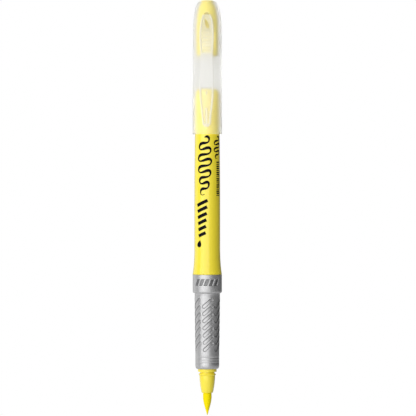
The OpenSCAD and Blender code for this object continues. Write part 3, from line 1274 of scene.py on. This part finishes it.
@dataclass
class PocketClip(Section):
    """The frosted clip: a flat tongue with a raised rim, arched into the cap at its root."""

    face: float = 8.4
    thickness: float = 1.25
    root: float = 10.6
    root_run: float = 5.0
    root_radius: float = 4.4
    shoulder: float = 13.6
    crest: float = 0.2
    crest_radius: float = 4.7
    toe: float = 6.0
    toe_lift: float = 0.25
    head: float = 151.0
    head_half: float = 2.88
    waist: float = 143.6
    waist_half: float = 2.58
    wide: float = 130.6
    end_half: float = 1.7
    rim: float = 0.75
    recess: float = 0.32
    head_panel: tuple[float, float] = (144.4, 159.6)
    arm_panel: tuple[float, float] = (116.2, 130.6)
    ridge: tuple[float, float] = (116.0, 122.6)
    ridge_height: float = 0.26
    drop: float = 128.4
    drop_height: float = 0.24
    waves: tuple[float, float] = (145.4, 153.2)
    wave_pitch: float = 1.5
    wave_height: float = 0.16
    rounding: float = 0.28
    leaf_height: float = 156.0
    leaf_half: float = 2.2
    leaf_depth: float = 0.3
    # Painted shade that darkens the sunk leaf to gold.
    leaf_shadow: float = 0.6
    # A painted shadow arc under the top of the head's rim: its height, its width and its darkness.
    arc_height: float = 160.15
    arc_width: float = 0.42
    arc_shadow: float = 0.75
    head_clearing: float = 0.6
    bead_height: float = 118.0
    bead_half: float = 2.6
    bead_depth: float = 1.05
    rows: int = 220
    columns: int = 40

    def half(self, z: float, low: float, top: float) -> float:
        """Give the clip's half width at a height.

        Args:
            z: The height.
            low: Height of the clip's free end.
            top: Height of the top of its arch.

        Returns:
            The half width.
        """
        if z > self.head:
            return self.head_half * max(0.0, 1 - ((z - self.head) / (top - self.head)) ** 2.5) ** 0.45
        narrowing = self.head_half - self.waist_half
        if z > self.waist:
            return self.waist_half + narrowing * smooth((z - self.waist) / (self.head - self.waist))
        if z > self.wide:
            return self.head_half - narrowing * smooth((z - self.wide) / (self.waist - self.wide))
        end = low + self.end_half
        if z > end:
            share = (z - end) / (self.wide - end)
            return self.end_half + (self.head_half - self.end_half) * math.sin(math.pi / 2 * share) ** 1.2
        return self.end_half * math.sqrt(max(0.0, 1 - ((end - z) / self.end_half) ** 2))

    def front(self, z: float, low: float, top: float) -> float:
        """Give how far the clip's face stands from the axis at a height."""
        shoulder = top - self.shoulder
        if z > shoulder:
            share = min(1.0, (z - shoulder) / (self.shoulder + self.crest))
            return self.crest_radius + (self.face - self.crest_radius) * math.sqrt(1 - share * share)
        return self.face - self.toe_lift * (max(0.0, low + self.toe - z) / self.toe) ** 2

    def back(self, z: float, top: float) -> float:
        """Give how far the clip's underside stands from the axis at a height."""
        gap = self.face - self.thickness
        bead = (z - self.bead_height) / self.bead_half
        if abs(bead) < 1:
            return gap - self.bead_depth * math.sqrt(1 - bead * bead)
        root = top - self.root
        if z > root:
            return gap - (gap - self.root_radius) * smooth((z - root) / self.root_run)
        return gap

    def leaf(self, x: float, z: float) -> float:
        """Tell how far a point is inside the small leaf on the clip's head: 1 inside, 0 outside."""
        across = x + 0.3 * (z - self.leaf_height)
        along = (z - self.leaf_height) / self.leaf_half
        return smooth((1.0 - math.hypot(across / 0.8 / max(0.1, 1 - 0.45 * along), along)) / 0.35)

    def arc(self, x: float, z: float) -> float:
        """Tell how dark the painted shadow under the top of the head's rim is at a point."""
        bow = self.arc_height - 0.22 * x * x
        return self.arc_shadow * bell((z - bow) / self.arc_width) * smooth((1.5 - abs(x)) / 0.6)

    def relief(self, x: float, z: float, half: float) -> float:
        """Give how deep the clip's face is sunk at a point.

        Args:
            x: Distance from the clip's middle line.
            z: The height.
            half: The clip's half width there.

        Returns:
            The depth, positive towards the cap.
        """
        inside = half - self.rim - abs(x)

        def within(ends: tuple[float, float], fade: float) -> float:
            """Tell how far the height is between two others: 1 between, 0 outside."""
            return smooth((z - ends[0]) / fade) * smooth((ends[1] - z) / fade)

        head = min(inside, z - self.head_panel[0], self.head_panel[1] - z)
        arm = min(inside, z - self.arm_panel[0], self.arm_panel[1] - z)
        sunk = self.recess * smooth(0.5 + max(head, arm) / 0.25)
        raised = self.ridge_height * smooth((0.5 - abs(x)) / 0.22) * within(self.ridge, 0.5)
        drop = math.hypot(x * 1.25, (z - self.drop) * 0.62)
        raised += self.drop_height * smooth((0.6 - drop) / 0.25)
        raised -= self.leaf_depth * self.leaf(x, z)
        wave = math.sin((z - self.waves[0] + 0.2) * math.tau / self.wave_pitch)
        raised += self.wave_height * smooth(wave) * smooth(inside / 0.5) * within(self.waves, 0.4)
        edge = max(0.0, self.rounding - (half - abs(x)))
        return sunk - raised + edge * edge / (1.5 * self.rounding)

    def build(self) -> None:
        """Make the clip."""
        low = Span.of("clip").low
        top = Span.of("clip").high + self.root
        bm = bmesh.new()
        veil = bm.verts.layers.float.new(VEIL)
        shadow = bm.verts.layers.float.new(SHADOW)
        for behind in (False, True):
            made = bmesh.ops.create_grid(bm, x_segments=self.columns, y_segments=self.rows, size=0.5)
            for vert in made["verts"]:
                u, v = 2 * vert.co.x, vert.co.y + 0.5
                z = low + (top - low) * (1 - math.cos(math.pi * v)) / 2
                half = max(self.half(z, low, top), 0.02)
                x = half * math.sin(math.pi / 2 * u)
                if behind:
                    y = min(self.back(z, top), self.front(z, low, top) - 0.3)
                else:
                    sunk = self.relief(x, z, half)
                    y = self.front(z, low, top) - sunk
                    clearing = self.head_clearing if z > self.waist else 1.0
                    vert[veil] = max(0.0, min(1.0, 1.15 - clearing * sunk / self.recess))
                    # Painted shade: the shadow arc under the head's rim and the darker gold of the sunk leaf.
                    vert[shadow] = max(self.leaf_shadow * self.leaf(x, z), self.arc(x, z))
                vert.co = (x, -y, z)
        rims = [edge for edge in bm.edges if edge.is_boundary]
        bmesh.ops.bridge_loops(bm, edges=rims)
        bmesh.ops.remove_doubles(bm, verts=bm.verts[:], dist=NEAR)
        bmesh.ops.recalc_face_normals(bm, faces=bm.faces[:])
        piece = publish(bm, "pocket_clip", self.finishes.rimmed, None, ("clip",))
        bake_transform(piece)


# ---------------------------------------------------------------- what stays from the frame


@dataclass
class InnerParts(Section):
    """Plain turned parts whose own shapes are right, so only their finish changes."""

    def build(self) -> None:
        """Dress the parts."""
        dressed = {
            "tail_plug": self.finishes.body,
            "reservoir_core": self.finishes.rod,
            "reservoir_wrap": self.finishes.film,
            "nib_holder": self.finishes.holder,
        }
        for node, material in dressed.items():
            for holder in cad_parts[node].material_slots:
                holder.material = material
            LOG.info("%s: keeps its own shape, finish %s", node, material.name)


# ---------------------------------------------------------------- studio


class Lamp(Enum):
    """The studio's soft lights: place, width, height (metres) and power (watts)."""

    KEY = ((-0.60, -0.60, 0.16), 0.50, 0.95, 2.65)
    FRONT = ((-0.10, -0.85, 0.20), 0.80, 0.90, 3.5)
    SIDE = ((-0.62, 0.35, 0.12), 0.85, 0.80, 1.6)
    BACK = ((0.10, 0.90, 0.30), 0.80, 0.80, 0.6)
    RIM = ((0.55, 0.60, 0.15), 0.50, 0.80, 1.0)


@dataclass
class Studio(Section):
    """A pale floor, a black card on the right, soft lights and a camera level with the pen's middle."""

    lens: float = 200.0
    sensor: float = 36.0
    margin: float = 1.0054
    azimuth: float = 2.0
    sideways: float = 0.00028
    floor_drop: float = 0.12
    floor_size: float = 1.6
    surround: float = 0.50
    gleam: float = 0.07
    seen_through: float = 0.68
    flag_place: tuple[float, float, float] = (0.15, -0.02, 0.08)
    flag_size: tuple[float, float] = (0.60, 0.17)

    def build(self) -> None:
        """Make the studio round the finished pen."""
        low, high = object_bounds()
        middle = (low + high) / 2
        flat = Matrix.Translation((0, 0, low.z - self.floor_drop))
        self.board("floor", (self.floor_size, self.floor_size), flat, self.finishes.card)
        aside = Matrix.Translation(self.flag_place) @ Matrix.Rotation(math.pi / 2, 4, "Y")
        flag = self.board("flag", self.flag_size, aside, self.finishes.black)
        flag.visible_camera = flag.visible_transmission = False
        flag.visible_glossy = flag.visible_shadow = False
        self.light(middle)
        self.surroundings()
        data = bpy.data.cameras.new("camera")
        data.lens = self.lens
        data.sensor_width = self.sensor
        distance = (high.z - low.z) * self.margin * self.lens / self.sensor
        camera = bpy.data.objects.new("camera", data)
        turned = Matrix.Rotation(math.radians(self.azimuth), 4, "Z")
        upright = Matrix.Rotation(math.pi / 2, 4, "X")
        camera.matrix_world = turned @ Matrix.Translation((self.sideways, -distance, middle.z)) @ upright
        bpy.context.scene.collection.objects.link(camera)
        bpy.context.scene.camera = camera
        bpy.context.scene.view_settings.view_transform = "Standard"
        LOG.info("camera %.3f m from the pen", distance)

    def board(
        self,
        name: str,
        size: tuple[float, float],
        stand: Matrix,
        material: bpy.types.Material,
    ) -> bpy.types.Object:
        """Make a flat board of the studio.

        Args:
            name: The board's name.
            size: Its two sides, in metres.
            stand: Where it is and how it is turned from lying flat.
            material: What it is made of.

        Returns:
            The board's object.
        """
        bm = bmesh.new()
        bmesh.ops.create_grid(bm, x_segments=1, y_segments=1, size=0.5)
        bmesh.ops.scale(bm, vec=(*size, 1.0), verts=bm.verts[:])
        board = place(bm, name, material)
        board.matrix_world = stand
        board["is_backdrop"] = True
        return board

    def light(self, target: Vector) -> None:
        """Hang the soft lights, each turned to the pen.

        Only the key light casts the clip's shadow, and the rim light reaches only the cap.

        Args:
            target: What the lights point at.
        """
        passed = bpy.data.collections.new("lets_light_through")
        passed.objects.link(bpy.data.objects["pocket_clip"])
        passed.collection_objects[0].light_linking.link_state = "EXCLUDE"
        lit = bpy.data.collections.new("lit_by_the_rim_light")
        for name in ("pocket_clip", "cap_tube"):
            lit.objects.link(bpy.data.objects[name])
        for lamp in Lamp:
            spot, width, height, power = lamp.value
            data = bpy.data.lights.new(lamp.name.lower(), "AREA")
            data.shape = "RECTANGLE"
            data.size = width
            data.size_y = height
            data.energy = power
            light = bpy.data.objects.new(lamp.name.lower(), data)
            aim = (target - Vector(spot)).to_track_quat("-Z", "Y").to_matrix().to_4x4()
            light.matrix_world = Matrix.Translation(spot) @ aim
            bpy.context.scene.collection.objects.link(light)
            if lamp is not Lamp.KEY:
                light.light_linking.blocker_collection = passed
            if lamp is Lamp.RIM:
                light.light_linking.receiver_collection = lit

    def surroundings(self) -> None:
        """Make the white surroundings, dimmer as a light than as a backdrop."""
        world = bpy.data.worlds.new("studio")
        bpy.context.scene.world = world
        world.use_nodes = True
        tree = world.node_tree
        back = tree.nodes["Background"]
        back.inputs["Color"].default_value = (1, 1, 1, 1)
        path = tree.nodes.new("ShaderNodeLightPath")
        brightness = {
            "Is Glossy Ray": self.gleam,
            "Is Transmission Ray": self.seen_through,
            "Is Camera Ray": 1.0,
        }
        previous = None
        for ray, strength in brightness.items():
            level = tree.nodes.new("ShaderNodeMapRange")
            level.inputs["To Min"].default_value = self.surround
            level.inputs["To Max"].default_value = strength
            tree.links.new(path.outputs[ray], level.inputs["Value"])
            if previous is not None:
                tree.links.new(previous, level.inputs["To Min"])
            previous = level.outputs["Result"]
        tree.links.new(previous, back.inputs["Strength"])


def main() -> None:
    """Build the pen piece by piece, then the studio."""
    logging.basicConfig(level=logging.INFO, format="%(name)s: %(message)s")
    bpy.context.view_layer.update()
    finishes = Palette.mix()
    barrel = Barrel(finishes)
    front = (BrushNib(finishes), FrontSection(finishes), GripSleeve(finishes))
    cap = (CapShell(finishes), SealCup(finishes), PocketClip(finishes))
    rest = (InnerParts(finishes), Studio(finishes))
    for part in (*front, barrel, BarrelPrint(finishes, barrel), *cap, *rest):
        LOG.info("building %s", type(part).__name__)
        part.build()


if __name__ == "__main__":
    main()
